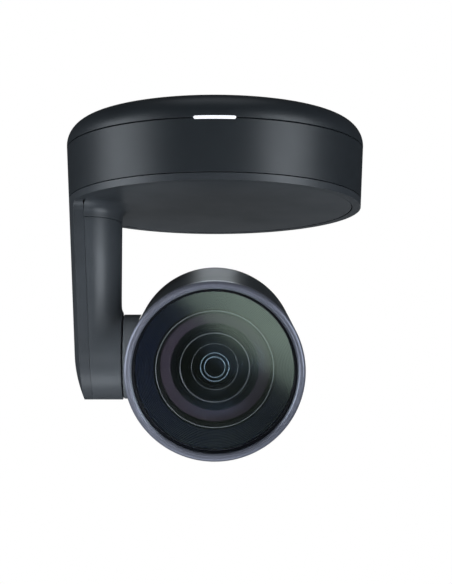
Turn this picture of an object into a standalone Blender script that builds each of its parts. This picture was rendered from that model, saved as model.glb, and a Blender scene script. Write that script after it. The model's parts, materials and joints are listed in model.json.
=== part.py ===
"""Ceiling-hung pan, tilt and zoom camera: fixed drum, turntable with one side arm, tilting lens head.

Lengths below are in millimetres; the meshes are built in metres. The frame has +Z up, -Y to the front,
and its origin on the pan axis at the drum's mounting face. Head parts are revolved about the lens axis,
where `a` is the distance forward of the tilt axis.
"""

import math

import bmesh
import bpy

MM = 0.001
GAP = 0.3            # clearance between neighbouring solids
ROUND = 36           # sides of the large round pieces
MEDIUM = 24          # of the middling ones
SMALL = 16
TINY = 10
EPS = 1.0            # how far a cutter runs past what it cuts

# ---------------------------------------------------------------- drum
SEAM_TOP = -14.0     # joint between the cap and the side band
SEAM_LOW = -40.4     # joint between the band and the turntable
UNDERSIDE = -44.3    # lowest face of the turntable's rim
DRUM_RADIUS = 76.0   # at SEAM_TOP
DRUM_TAPER = 0.048   # radius lost per millimetre below SEAM_TOP
WALL = 2.4
CAP_TOP = -0.5       # plastic face just below the rubber pad
CAP_WALL = 2.6
EDGE_WIDTH = 12.9    # the cap's rounded edge, across and down
EDGE_DEPTH = 12.1
PAD_INNER = 50.0
PAD_OUTER = 60.0
PAD_THICKNESS = 1.8
LED_HALF_ANGLE = 7.7
LED_Z = (-14.85, -13.3)
RECESS_HALF_WIDTH = 36.0
RECESS_Z = (-29.8, -18.4)
PANEL_Y = (60.0, 62.0)
PORT_Z = -24.1
STANDOFF_CIRCLE = 61.0

# ---------------------------------------------------------------- drives
GEAR_MODULE = 1.5
PAN_TEETH = 48
PINION_TEETH = 12
GEAR_BACKLASH = 0.45
GEAR_Z = (-37.4, -34.2)
MOTOR_X = GEAR_MODULE * (PAN_TEETH + PINION_TEETH) / 2
BELT_GAP = 0.35
SMALL_PULLEY = 5.0
LARGE_PULLEY = 12.0
TILT_MOTOR_Z = -74.0

# ---------------------------------------------------------------- arm
TILT_Z = -120.5      # height of the tilt axis
ARM_HALF_DEPTH = 21.75
ARM_WALL = 2.0
ARM_TOP = -52.2      # joint between the collar and the arm's inner cover
ARM_INNER_X = -47.4  # innermost line of the column
ELBOW_X = -46.4      # flat end that faces the head
SEAM_DEPTH = 8.6     # the shell's depth, from the cone to its joint with the cover
TIP_DROP = 3.1       # how far the outer face curves in below the tilt axis
RIM_INNER = 70.3     # inner radius of the turntable's rim
COLUMN_ROWS = 4      # rows of points down the column, round its tip and across it
TIP_ROWS = 6
ACROSS = 8

# ---------------------------------------------------------------- head
REST_TILT = 14.6     # lens axis below the horizon, in degrees
HEAD_FRONT = 53.7
HEAD_REAR = -50.0
HEAD_SEAM = -38.2
RING_SEAM = 44.2
HEAD_RADIUS = 43.9   # at HEAD_FRONT
HEAD_TAPER = 0.0253
HEAD_WALL = 2.2
RING_INNER = 40.1
REAR_EDGE = 11.5
HUB_RADIUS = 21.3
ROD_OFFSET = 15.0
CARRIAGE_RADIUS = 18.5
IRIS_A = 24.3


def drum_radius(z):
    return DRUM_RADIUS - DRUM_TAPER * (SEAM_TOP - z)


def head_radius(a):
    return HEAD_RADIUS - HEAD_TAPER * (HEAD_FRONT - a)


# ---------------------------------------------------------------- scene, materials and frames
for old in list(bpy.data.objects):
    bpy.data.objects.remove(old, do_unlink=True)

PALETTE = {
    # name: colour, roughness, metallic
    "shell": ((0.035, 0.038, 0.042), 0.45, 0.0),
    "cover": ((0.042, 0.046, 0.050), 0.5, 0.0),
    "bezel": ((0.22, 0.23, 0.27), 0.35, 0.8),
    "black": ((0.012, 0.013, 0.015), 0.5, 0.0),
    "rubber": ((0.02, 0.02, 0.021), 0.8, 0.0),
    "glass": ((0.08, 0.1, 0.1), 0.05, 0.0),
    "light": ((0.9, 0.93, 1.0), 0.4, 0.0),
    "steel": ((0.55, 0.56, 0.58), 0.35, 1.0),
    "brass": ((0.72, 0.55, 0.28), 0.35, 1.0),
    "alloy": ((0.6, 0.61, 0.63), 0.45, 1.0),
    "board": ((0.03, 0.12, 0.07), 0.5, 0.0),
    "acetal": ((0.75, 0.75, 0.72), 0.5, 0.0),
}


def material(name):
    found = bpy.data.materials.get(name)
    if found:
        return found
    colour, roughness, metallic = PALETTE[name]
    made = bpy.data.materials.new(name)
    made.use_nodes = True
    shader = made.node_tree.nodes["Principled BSDF"]
    shader.inputs["Base Color"].default_value = (*colour, 1.0)
    shader.inputs["Roughness"].default_value = roughness
    shader.inputs["Metallic"].default_value = metallic
    return made


def empty(name, location=(0, 0, 0), rotation=(0, 0, 0), parent=None):
    """A frame: its location is in millimetres and its rotation in degrees."""
    made = bpy.data.objects.new(name, None)
    bpy.context.scene.collection.objects.link(made)
    made.location = [v * MM for v in location]
    made.rotation_euler = [math.radians(v) for v in rotation]
    made.parent = parent
    return made


pan_axis = empty("pan_axis")
pinion_axis = empty("pinion_axis", (MOTOR_X, 0, 0))
tilt_axis = empty("tilt_axis", (0, 0, TILT_Z), (0, 90, 0), pan_axis)  # local +Z is the world's +X
motor_axis = empty("motor_axis", (0, 0, TILT_MOTOR_Z), (0, 90, 0), pan_axis)
lens_axis = empty("lens_axis", (0, 0, TILT_Z), (90 + REST_TILT, 0, 0), pan_axis)  # local +Z is forward
port_axis = empty("port_axis", (0, 0, PORT_Z), (-90, 0, 0))  # local +Z is the world's +Y


# ---------------------------------------------------------------- mesh helpers
def finish(name, mesh, colour, parent=None, sharp=35.0):
    """Turns a bmesh in millimetres into a named object with outward faces."""
    bmesh.ops.remove_doubles(mesh, verts=mesh.verts, dist=1e-4)
    bmesh.ops.dissolve_degenerate(mesh, edges=mesh.edges, dist=1e-5)
    bmesh.ops.recalc_face_normals(mesh, faces=mesh.faces)
    bmesh.ops.scale(mesh, vec=(MM, MM, MM), verts=mesh.verts)
    data = bpy.data.meshes.new(name)
    mesh.to_mesh(data)
    mesh.free()
    data.shade_smooth()
    data.set_sharp_from_angle(angle=math.radians(sharp))
    made = bpy.data.objects.new(name, data)
    bpy.context.scene.collection.objects.link(made)
    data.materials.append(material(colour))
    made.parent = parent
    return made


def add_revolved(mesh, profile, steps=MEDIUM, at=(0, 0)):
    """Revolves a closed (radius, height) profile about the local Z axis through `at`.

    The first row sits half a step round, which keeps mesh edges off the planes that holes are centred on.
    """
    rings = []
    for radius, height in profile:
        if radius < 1e-6:
            rings.append([mesh.verts.new((at[0], at[1], height))])
            continue
        turns = (2 * math.pi * (i + 0.5) / steps for i in range(steps))
        rings.append([
            mesh.verts.new((at[0] + radius * math.cos(t), at[1] + radius * math.sin(t), height))
            for t in turns
        ])
    for low, high in zip(rings, rings[1:] + rings[:1]):
        for i in range(steps):
            j = (i + 1) % steps
            corners = [low[i % len(low)], low[j % len(low)], high[j % len(high)], high[i % len(high)]]
            corners = list(dict.fromkeys(corners))
            if len(corners) > 2:
                mesh.faces.new(corners)


def add_prism(mesh, outline, low, high):
    """Extrudes an (x, y) outline along local Z."""
    count = len(outline)
    bottom = [mesh.verts.new((x, y, low)) for x, y in outline]
    top = [mesh.verts.new((x, y, high)) for x, y in outline]
    mesh.faces.new(bottom[::-1])
    mesh.faces.new(top)
    for i in range(count):
        j = (i + 1) % count
        mesh.faces.new((bottom[i], bottom[j], top[j], top[i]))


def revolve(name, profile, colour, parent=None, steps=MEDIUM, at=(0, 0)):
    mesh = bmesh.new()
    add_revolved(mesh, profile, steps, at)
    return finish(name, mesh, colour, parent)


def prism(name, outline, low, high, colour, parent=None):
    mesh = bmesh.new()
    add_prism(mesh, outline, low, high)
    return finish(name, mesh, colour, parent)


def block(name, x, y, z, colour, parent=None):
    outline = [(x[0], y[0]), (x[1], y[0]), (x[1], y[1]), (x[0], y[1])]
    return prism(name, outline, z[0], z[1], colour, parent)


def tube(inner, outer, low, high):
    """The profile of a plain ring or, with inner 0, of a disc."""
    return [(inner, low), (outer, low), (outer, high), (inner, high)]


def boolean(target, other, operation="DIFFERENCE"):
    """Cuts with, joins or keeps what is inside a helper, which is then left out of the part."""
    other.hide_render = True
    other.display_type = "WIRE"
    step = target.modifiers.new(operation.lower(), "BOOLEAN")
    step.operation = operation
    step.object = other
    return target


def arc(centre, radius, start, end, steps):
    """Points of a circular arc, with angles in degrees."""
    turns = [math.radians(start + (end - start) * i / steps) for i in range(steps + 1)]
    return [(centre[0] + radius * math.cos(t), centre[1] + radius * math.sin(t)) for t in turns]


def slot_outline(length, width, steps=6, centre=(0, 0)):
    """A rounded slot along local X."""
    half = (length - width) / 2
    right = arc((centre[0] + half, centre[1]), width / 2, -90, 90, steps)
    left = arc((centre[0] - half, centre[1]), width / 2, 90, 270, steps)
    return right + left


def regular_outline(radius, sides):
    return arc((0, 0), radius, 0, 360 * (sides - 1) / sides, sides - 1)


def lathe_edge(width, depth, outer, top, steps):
    """A rounded outer edge, from the side wall up and in to the flat top."""
    turns = [math.pi / 2 * i / steps for i in range(steps + 1)]
    return [(outer - width * (1 - math.cos(t)), top - depth * (1 - math.sin(t))) for t in turns]


def gear_outline(teeth, module, backlash, addendum=0.9, dedendum=1.2, pressure=20.0):
    """Involute teeth, thinned by the backlash, with a tooth centred on local +X."""
    pitch = module * teeth / 2
    base = pitch * math.cos(math.radians(pressure))
    tip = pitch + addendum * module
    root = pitch - dedendum * module
    involute = math.tan(math.radians(pressure)) - math.radians(pressure)
    half = math.pi / (2 * teeth) - backlash / (2 * pitch) + involute

    def flank(radius):
        """Half the tooth's angle at this radius."""
        angle = math.acos(min(1.0, base / radius))
        return half - (math.tan(angle) - angle)

    radii = [root, tip]
    points = []
    for tooth in range(teeth):
        middle = 2 * math.pi * tooth / teeth
        rising = [(r, middle - flank(r)) for r in radii]
        falling = [(r, middle + flank(r)) for r in reversed(radii)]
        points += [(r * math.cos(t), r * math.sin(t)) for r, t in rising + falling]
    return points


# ---------------------------------------------------------------- fixed drum
def cap_profile():
    outer = lathe_edge(EDGE_WIDTH, EDGE_DEPTH, drum_radius(CAP_TOP - EDGE_DEPTH), CAP_TOP, 5)
    width, depth = EDGE_WIDTH - CAP_WALL, EDGE_DEPTH - CAP_WALL
    shrunk = lathe_edge(width, depth, drum_radius(CAP_TOP - EDGE_DEPTH) - CAP_WALL, CAP_TOP - CAP_WALL, 3)
    groove = -PAD_THICKNESS - GAP
    lip = drum_radius(SEAM_TOP) - WALL - GAP
    top = [
        (PAD_OUTER + GAP, CAP_TOP), (PAD_OUTER + GAP, groove), (PAD_INNER - GAP, groove),
        (PAD_INNER - GAP, CAP_TOP),
        (7.3, CAP_TOP), (7.3, CAP_TOP - CAP_WALL - 1.6), (10.0, CAP_TOP - CAP_WALL - 1.6),
        (10.0, CAP_TOP - CAP_WALL),
    ]
    skirt = [(lip - 1.6, SEAM_TOP - 2.0), (lip, SEAM_TOP - 2.0), (lip, SEAM_TOP),
             (drum_radius(SEAM_TOP), SEAM_TOP)]
    return outer + top + shrunk[::-1][:-1] + [(lip - 1.6, CAP_TOP - EDGE_DEPTH)] + skirt


def make_drum():
    cap = revolve("base_cap", cap_profile(), "shell", steps=ROUND)
    revolve("base_pad", tube(PAD_INNER, PAD_OUTER, -PAD_THICKNESS, 0.0), "rubber", steps=ROUND)
    insert = [(0, -13.0), (7.0, -13.0), (7.0, -6.6), (9.5, -6.6), (9.5, -5.0), (7.0, -5.0),
              (7.0, -0.5), (3.2, -0.5),
              (3.2, -11.0), (0, -11.0)]
    revolve("tripod_insert", insert, "brass", steps=MEDIUM)

    top, low = SEAM_TOP - 0.4, SEAM_LOW
    band_profile = [
        (drum_radius(low) - WALL, low), (drum_radius(low), low), (drum_radius(top), top),
        (drum_radius(top) - WALL, top)
    ]
    band = revolve("base_band", band_profile, "shell", steps=ROUND)
    recess_x = (-RECESS_HALF_WIDTH, RECESS_HALF_WIDTH)
    boolean(band, block("recess_cutter", recess_x, (PANEL_Y[0], DRUM_RADIUS + 5), RECESS_Z, "shell"))
    pocket = arc((0, 0), DRUM_RADIUS + 2, -90 - LED_HALF_ANGLE - 0.25, -90 + LED_HALF_ANGLE + 0.25, 6)
    pocket += arc((0, 0), DRUM_RADIUS - 5, -90 + LED_HALF_ANGLE + 0.25, -90 - LED_HALF_ANGLE - 0.25, 6)
    pocket_z = (LED_Z[0] - 0.2, LED_Z[1] + 0.2)
    boolean(band, prism("led_band_cutter", pocket, pocket_z[0], pocket_z[1], "shell"))
    boolean(cap, prism("led_cap_cutter", pocket, pocket_z[0], pocket_z[1], "shell"))
    bar = arc((0, 0), DRUM_RADIUS, -90 - LED_HALF_ANGLE, -90 + LED_HALF_ANGLE, 6)
    bar += arc((0, 0), DRUM_RADIUS - 4.5, -90 + LED_HALF_ANGLE, -90 - LED_HALF_ANGLE, 6)
    prism("led_window", bar, LED_Z[0], LED_Z[1], "light")


def make_ports():
    """The recessed rear panel, its sockets, and the board that carries them."""
    wall = 1.4
    tray_x = (-RECESS_HALF_WIDTH - wall, RECESS_HALF_WIDTH + wall)
    tray_z = (RECESS_Z[0] - wall, RECESS_Z[1] + wall)
    tray = block("port_panel", tray_x, (PANEL_Y[0], DRUM_RADIUS + 5), tray_z, "black")
    recess_x = (-RECESS_HALF_WIDTH, RECESS_HALF_WIDTH)
    boolean(tray, block("tray_cutter", recess_x, (PANEL_Y[1], DRUM_RADIUS + 9), RECESS_Z, "black"))
    inside = drum_radius(SEAM_LOW) - WALL - GAP
    boolean(tray, revolve("tray_limit", tube(0, inside, SEAM_LOW, 0), "black", steps=ROUND), "INTERSECT")

    def port_cutter(name, outline):
        boolean(tray, prism(name, outline, PANEL_Y[0] - EPS, PANEL_Y[1] + EPS, "black", port_axis))

    port_cutter("jack_cutter", arc((-26, 0), 4.6, 0, 345, 23))
    port_cutter("usb_cutter", slot_outline(9.8, 4.0, centre=(-9, 0)))
    port_cutter("video_cutter", slot_outline(16.0, 6.4, centre=(9, 0)))
    port_cutter("button_cutter", arc((27, 0), 2.8, 0, 340, 17))

    back = 46.8
    face = PANEL_Y[1]
    jack = [(0, back), (4.3, back), (4.3, face), (3.1, face), (3.1, back + 5), (0.9, back + 5),
            (0.9, face - 2), (0, face - 2)]
    revolve("power_jack", jack, "black", port_axis, SMALL, at=(-26, 0))
    for name, centre, outer, inner, tongue in (
        ("usb_c_port", -9, (9.2, 3.4), (8.4, 2.6), (6.6, 0.8)),
        ("video_port", 9, (15.4, 5.8), (14.2, 4.6), (11.6, 1.4)),
    ):
        shell = prism(name, slot_outline(*outer, centre=(centre, 0)), back, face, "steel", port_axis)
        mouth = slot_outline(*inner, centre=(centre, 0))
        boolean(shell, prism(name + "_mouth", mouth, face - 7, face + EPS, "steel", port_axis))
        half_x, half_y = tongue[0] / 2, tongue[1] / 2
        blade = block(
            name + "_tongue", (centre - half_x, centre + half_x), (-half_y, half_y), (back + 2, face - 1),
            "steel", port_axis,
        )
        boolean(shell, blade, "UNION")
    stem = [(0, 56.0), (3.6, 56.0), (3.6, 57.2), (2.4, 57.2), (2.4, 63.2), (0, 63.2)]
    revolve("pairing_button", stem, "black", port_axis, SMALL, at=(27, 0))
    block("port_board", (-34, 34), (44.9, 46.5), (RECESS_Z[0], RECESS_Z[1]), "board")


def make_chassis():
    """Everything fixed inside the drum: plate, standoffs, main board, pan motor and outer bearing race."""
    plate = [(11.9, -33.5), (70.0, -33.5), (70.0, -31.5), (16.0, -31.5), (16.0, -23.6), (13.3, -23.6),
             (13.3, -31.3),
             (11.9, -31.3)]
    chassis = revolve("chassis_plate", plate, "alloy", steps=ROUND)
    boolean(chassis, revolve("shaft_cutter", tube(0, 4.5, -36, -29), "alloy", steps=SMALL, at=(MOTOR_X, 0)))
    holes = []
    for i in range(3):
        turn = math.radians(30 + 120 * i)
        at = (STANDOFF_CIRCLE * math.cos(turn), STANDOFF_CIRCLE * math.sin(turn))
        post = [(0, -31.2), (4.0, -31.2), (4.0, -16.9), (2.4, -16.9), (2.4, -3.5), (0, -3.5)]
        revolve(f"standoff_{i + 1}", post, "brass", steps=TINY, at=at)
        holes.append(at)
    board = revolve("main_board", tube(0, 65.0, -16.6, -15.0), "board", steps=MEDIUM)
    for i, at in enumerate(holes):
        boolean(board, revolve(f"board_hole_{i + 1}", tube(0, 2.8, -18, -13), "board", steps=TINY, at=at))
    can = [(2.2, -31.2), (12.5, -31.2), (12.5, -17.8), (0, -17.8), (0, -19.0), (2.2, -19.0)]
    revolve("pan_motor", can, "steel", pinion_axis, MEDIUM)
    revolve("pan_bearing_outer", tube(11.2, 13.0, -31.0, -24.0), "steel", steps=MEDIUM)


def make_pan_drive():
    teeth = gear_outline(PINION_TEETH, GEAR_MODULE, GEAR_BACKLASH)
    pinion = prism("pan_pinion", teeth, *GEAR_Z, "acetal", pinion_axis)
    shaft = revolve("pinion_shaft", tube(0, 1.8, -36.0, -20.0), "steel", pinion_axis, SMALL)
    boolean(pinion, shaft, "UNION")
    half_pitch = math.pi / PAN_TEETH
    c, s = math.cos(half_pitch), math.sin(half_pitch)
    points = gear_outline(PAN_TEETH, GEAR_MODULE, GEAR_BACKLASH)
    turned = [(x * c - y * s, x * s + y * c) for x, y in points]
    gear = prism("pan_gear", turned, GEAR_Z[0], GEAR_Z[1], "acetal", pan_axis)
    boolean(gear, revolve("gear_bore", tube(0, 9.9, -40, -30), "acetal", pan_axis, MEDIUM))


# ---------------------------------------------------------------- turntable and arm
def seam_x(z):
    """The plane where the arm's shell meets its cover, parallel to the drum's cone."""
    return SEAM_DEPTH - drum_radius(z)


def arm_rows(top, half_depth):
    """(z, half width) of each row, down the column and round the tip."""
    rows = [(top + (TILT_Z - top) * i / COLUMN_ROWS, half_depth) for i in range(COLUMN_ROWS)]
    for i in range(TIP_ROWS + 1):
        turn = math.pi / 2 * i / TIP_ROWS
        rows.append((TILT_Z - half_depth * math.sin(turn), half_depth * math.cos(turn)))
    return rows


def cover_point(z, half, share, half_depth, inset):
    """A point of the arm cover. share runs from -1 to 1 across the row."""
    turn = math.pi / 2 * share
    y = half * math.sin(turn)
    blend = min(1.0, max(0.0, (-88.0 - z) / (-88.0 - TILT_Z)))
    power = 2.0 + 4.0 * blend ** 2
    height = ARM_INNER_X + (ELBOW_X - ARM_INNER_X) * blend - seam_x(z) - inset
    along = min(0.0, z - TILT_Z)
    reach = min(1.0, math.hypot(y, along) / half_depth)
    return (seam_x(z) + height * (1 - reach ** power) ** (1 / power), y, z)


def shell_row(z, half, inset):
    """A row of the arm shell: in from the seam to the corner, across the cone, and back to the seam."""
    drop = TIP_DROP * (min(0.0, z - TILT_Z) / ARM_HALF_DEPTH) ** 2

    def face(y):
        return -math.sqrt(drum_radius(z) ** 2 - y * y) + drop + inset

    ys = [half * (-1 + 2 * i / ACROSS) for i in range(ACROSS + 1)]
    return [(seam_x(z) - GAP, -half, z)] + [(face(y), y, z) for y in ys] + [(seam_x(z) - GAP, half, z)]


def add_dish(mesh, outer, inner):
    """Closes two grids of points, row by row, into one shell with a rim between their edges."""
    grids = [[[mesh.verts.new(p) for p in row] for row in grid] for grid in (outer, inner)]
    for grid in grids:
        for upper, lower in zip(grid, grid[1:]):
            for i in range(len(upper) - 1):
                mesh.faces.new((upper[i], upper[i + 1], lower[i + 1], lower[i]))
    far, near = grids
    for upper, lower, inner_upper, inner_lower in zip(far, far[1:], near, near[1:]):
        for i in (0, -1):
            mesh.faces.new((upper[i], lower[i], inner_lower[i], inner_upper[i]))
    for i in range(len(far[0]) - 1):
        mesh.faces.new((far[0][i], far[0][i + 1], near[0][i + 1], near[0][i]))


def make_arm_cover():
    inner_half = ARM_HALF_DEPTH - ARM_WALL
    shares = [-1 + 2 * i / ACROSS for i in range(ACROSS + 1)]
    outer_rows = arm_rows(ARM_TOP - GAP, ARM_HALF_DEPTH)
    inner_rows = arm_rows(ARM_TOP - GAP, inner_half)
    mesh = bmesh.new()
    add_dish(
        mesh,
        [[cover_point(z, half, s, ARM_HALF_DEPTH, 0.0) for s in shares] for z, half in outer_rows],
        [[cover_point(z, half, s, inner_half, ARM_WALL) for s in shares] for z, half in inner_rows],
    )
    cover = finish("arm_cover", mesh, "cover", pan_axis)
    boolean(cover, revolve("shaft_hole_cutter", tube(0, 7.5, -60, -40), "cover", tilt_axis, MEDIUM))


def make_yoke_shell():
    """The turntable's rim and the arm's outer shell, moulded as one."""
    rim_top = SEAM_LOW - 0.4
    rim = [(RIM_INNER, UNDERSIDE), (drum_radius(UNDERSIDE) - 0.8, UNDERSIDE),
           (drum_radius(UNDERSIDE), UNDERSIDE + 0.8),
           (drum_radius(rim_top), rim_top), (RIM_INNER, rim_top)]
    shell = revolve("yoke_shell", rim, "shell", pan_axis, ROUND)
    top = (UNDERSIDE + rim_top) / 2
    inner_half = ARM_HALF_DEPTH - ARM_WALL
    mesh = bmesh.new()
    add_dish(
        mesh,
        [shell_row(z, half, 0.0) for z, half in arm_rows(top, ARM_HALF_DEPTH)],
        [shell_row(z, half, ARM_WALL) for z, half in arm_rows(top, inner_half)],
    )
    boolean(shell, finish("arm_dish", mesh, "shell", pan_axis), "UNION")
    clear = tube(0, RIM_INNER, UNDERSIDE - GAP, rim_top + EPS)
    boolean(shell, revolve("cover_clearance", clear, "shell", pan_axis, ROUND))


def column_outline(half_depth, depth, steps=14):
    """The column's section: a flat side on the seam and a half ellipse."""
    flat = seam_x(UNDERSIDE) + GAP
    turns = [math.pi * i / steps - math.pi / 2 for i in range(steps + 1)]
    return [(flat + depth * math.cos(t), half_depth * math.sin(t)) for t in turns]


def make_turntable():
    cover_low, cover_high = UNDERSIDE + 0.3, -41.3
    cover = revolve("turntable_cover", tube(0, 70.0, cover_low, cover_high), "cover", pan_axis, ROUND)
    depth = ARM_INNER_X - seam_x(UNDERSIDE) - GAP
    collar = bmesh.new()
    levels = [(cover_high - 1.0, 5.0), (cover_low - 0.3, 5.0), (cover_low - 2.0, 2.4),
              (cover_low - 4.6, 0.5),
              (ARM_TOP, 0.0)]
    loops = []
    for z, flare in levels:
        outline = column_outline(ARM_HALF_DEPTH, depth + flare)
        loops.append([collar.verts.new((x, y, z)) for x, y in outline])
    collar.faces.new(loops[0])
    collar.faces.new(loops[-1][::-1])
    for upper, lower in zip(loops, loops[1:]):
        for i in range(len(upper)):
            j = (i + 1) % len(upper)
            collar.faces.new((upper[i], upper[j], lower[j], lower[i]))
    boolean(cover, finish("collar_helper", collar, "cover", pan_axis), "UNION")
    hollow = column_outline(ARM_HALF_DEPTH - ARM_WALL, depth - ARM_WALL)
    hollow = [(max(x, seam_x(UNDERSIDE) + GAP + ARM_WALL), y) for x, y in hollow]
    hollow = list(dict.fromkeys(hollow))
    boolean(cover, prism("collar_cutter", hollow, ARM_TOP - EPS, cover_high + EPS, "cover", pan_axis))

    revolve("turntable_plate", tube(9.9, 66.0, -39.4, -37.8), "alloy", pan_axis, ROUND)
    spindle = [(5.0, -40.9), (15.0, -40.9), (15.0, -39.7), (9.6, -39.7), (9.6, -31.3), (7.7, -31.3),
               (7.7, -20.5),
               (5.0, -20.5)]
    revolve("pan_spindle", spindle, "steel", pan_axis, MEDIUM)
    revolve("pan_bearing_inner", tube(8.0, 10.0, -31.0, -24.0), "steel", pan_axis, MEDIUM)
    nut = prism("spindle_nut", regular_outline(11.6, 6), -23.7, -20.8, "steel", pan_axis)
    boolean(nut, revolve("nut_bore", tube(0, 8.0, -26, -18), "steel", pan_axis, MEDIUM))


def belt_outline(small, large, spacing, steps=12):
    """An open loop round two pulleys: the large one at local (0, 0), the small one at (-spacing, 0)."""
    wrap = math.degrees(math.acos((large - small) / spacing))
    right = arc((0, 0), large, -180 + wrap, 180 - wrap, steps)
    left = arc((-spacing, 0), small, 180 - wrap, 180 + wrap, steps)
    return right + left


def make_tilt_drive():
    """Frame, motor, belt, pulleys, bush and shaft in the arm. Local Z of tilt_axis is the world's X."""
    spacing = TILT_MOTOR_Z - TILT_Z
    frame_x = (-63.5, -62.0)
    half, disc, top = 13.0, 15.0, -39.7
    corner = 180 - math.degrees(math.asin(half / disc))
    outline = [(TILT_Z - top, half)] + arc((0, 0), disc, corner, -corner, 16) + [(TILT_Z - top, -half)]
    frame = prism("arm_frame", outline, *frame_x, "alloy", tilt_axis)
    flange = block("frame_flange", (-63.0, -50.0), (-12.5, 12.5), (-41.0, -39.9), "alloy", pan_axis)
    boolean(frame, flange, "UNION")
    boolean(frame, revolve("frame_boss", tube(0, 12.8, -63.0, -54.0), "alloy", tilt_axis, MEDIUM), "UNION")
    boolean(frame, revolve("bush_cutter", tube(0, 10.3, -66, -52), "alloy", tilt_axis, MEDIUM))
    boolean(frame, revolve("pulley_cutter", tube(0, 3.0, -66, -60), "alloy", motor_axis, SMALL))
    revolve("tilt_bush", tube(6.8, 10.0, -63.3, -53.6), "brass", tilt_axis, MEDIUM)
    can = [(1.9, -61.7), (8.0, -61.7), (8.0, -52.4), (0, -52.4), (0, -53.4), (1.9, -53.4)]
    revolve("tilt_motor", can, "steel", motor_axis, SMALL)
    belt_x = (-67.2, -64.4)
    small = [(0, belt_x[0]), (SMALL_PULLEY, belt_x[0]), (SMALL_PULLEY, belt_x[1]), (1.5, belt_x[1]),
             (1.5, -54.4),
             (0, -54.4)]
    revolve("tilt_motor_pulley", small, "acetal", motor_axis, SMALL)
    revolve("tilt_pulley", tube(6.8, LARGE_PULLEY, *belt_x), "acetal", tilt_axis, MEDIUM)
    outer = belt_outline(SMALL_PULLEY + BELT_GAP + 0.9, LARGE_PULLEY + BELT_GAP + 0.9, spacing)
    inner = belt_outline(SMALL_PULLEY + BELT_GAP, LARGE_PULLEY + BELT_GAP, spacing)
    belt = prism("tilt_belt", outer, belt_x[0] + 0.2, belt_x[1] - 0.2, "rubber", tilt_axis)
    boolean(belt, prism("belt_cutter", inner, belt_x[0] - EPS, belt_x[1] + EPS, "rubber", tilt_axis))
    shaft = [(4.0, -68.0), (6.5, -68.0), (6.5, -43.9), (14.0, -43.9), (14.0, -42.4), (4.0, -42.4)]
    revolve("tilt_shaft", shaft, "steel", tilt_axis, MEDIUM)


# ---------------------------------------------------------------- head
def make_head_shells():
    front, rear = RING_SEAM - GAP, HEAD_SEAM
    barrel = revolve("barrel_shell", [
        (head_radius(rear) - HEAD_WALL, rear), (head_radius(rear), rear), (head_radius(front), front),
        (head_radius(front) - HEAD_WALL, front),
    ], "shell", lens_axis, ROUND)
    opening = revolve("shaft_opening", tube(0, 16.0, -50, -30), "shell", tilt_axis, MEDIUM)
    boolean(barrel, opening)

    start = HEAD_SEAM - GAP
    radius = head_radius(start)
    outer = lathe_edge(REAR_EDGE, -REAR_EDGE, radius, HEAD_REAR, 4)
    inner_edge = REAR_EDGE - HEAD_WALL
    inner = lathe_edge(inner_edge, -inner_edge, radius - HEAD_WALL, HEAD_REAR + HEAD_WALL, 3)
    profile = outer + [(0, HEAD_REAR), (0, HEAD_REAR + HEAD_WALL)] + inner[::-1]
    revolve("rear_cap", profile, "shell", lens_axis, ROUND)

    hub = revolve("tilt_hub", [
        (6.9, -45.9), (HUB_RADIUS, -45.9), (HUB_RADIUS, -30.0), (HUB_RADIUS - 2.2, -30.0),
        (HUB_RADIUS - 2.2, -44.2),
        (6.9, -44.2),
    ], "shell", tilt_axis, MEDIUM)
    clear = [(0, -60), (head_radius(-60) + GAP, -60), (head_radius(60) + GAP, 60), (0, 60)]
    boolean(hub, revolve("barrel_clearance", clear, "shell", lens_axis, ROUND))

    ring = [(RING_INNER, RING_SEAM + 3.0), (RING_INNER - 1.2, RING_SEAM + 3.0),
            (RING_INNER - 1.2, RING_SEAM),
            (head_radius(RING_SEAM), RING_SEAM), (head_radius(51.6), 51.6),
            (HEAD_RADIUS - 1.0, HEAD_FRONT - 0.3),
            (HEAD_RADIUS - 1.9, HEAD_FRONT), (RING_INNER + 0.5, HEAD_FRONT - 0.6),
            (RING_INNER, HEAD_FRONT - 1.1)]
    revolve("front_ring", ring, "bezel", lens_axis, ROUND)


def lens(radius, front, rear, bulge, hollow, steps=3):
    """The profile of a glass element: a domed front face and a hollowed or bulged rear face."""
    shares = [i / steps for i in range(steps + 1)]
    face = [(radius * s, front + bulge * (1 - s * s)) for s in shares]
    back = [(radius * s, rear + hollow * (1 - s * s)) for s in shares]
    return face + back[::-1]


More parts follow.
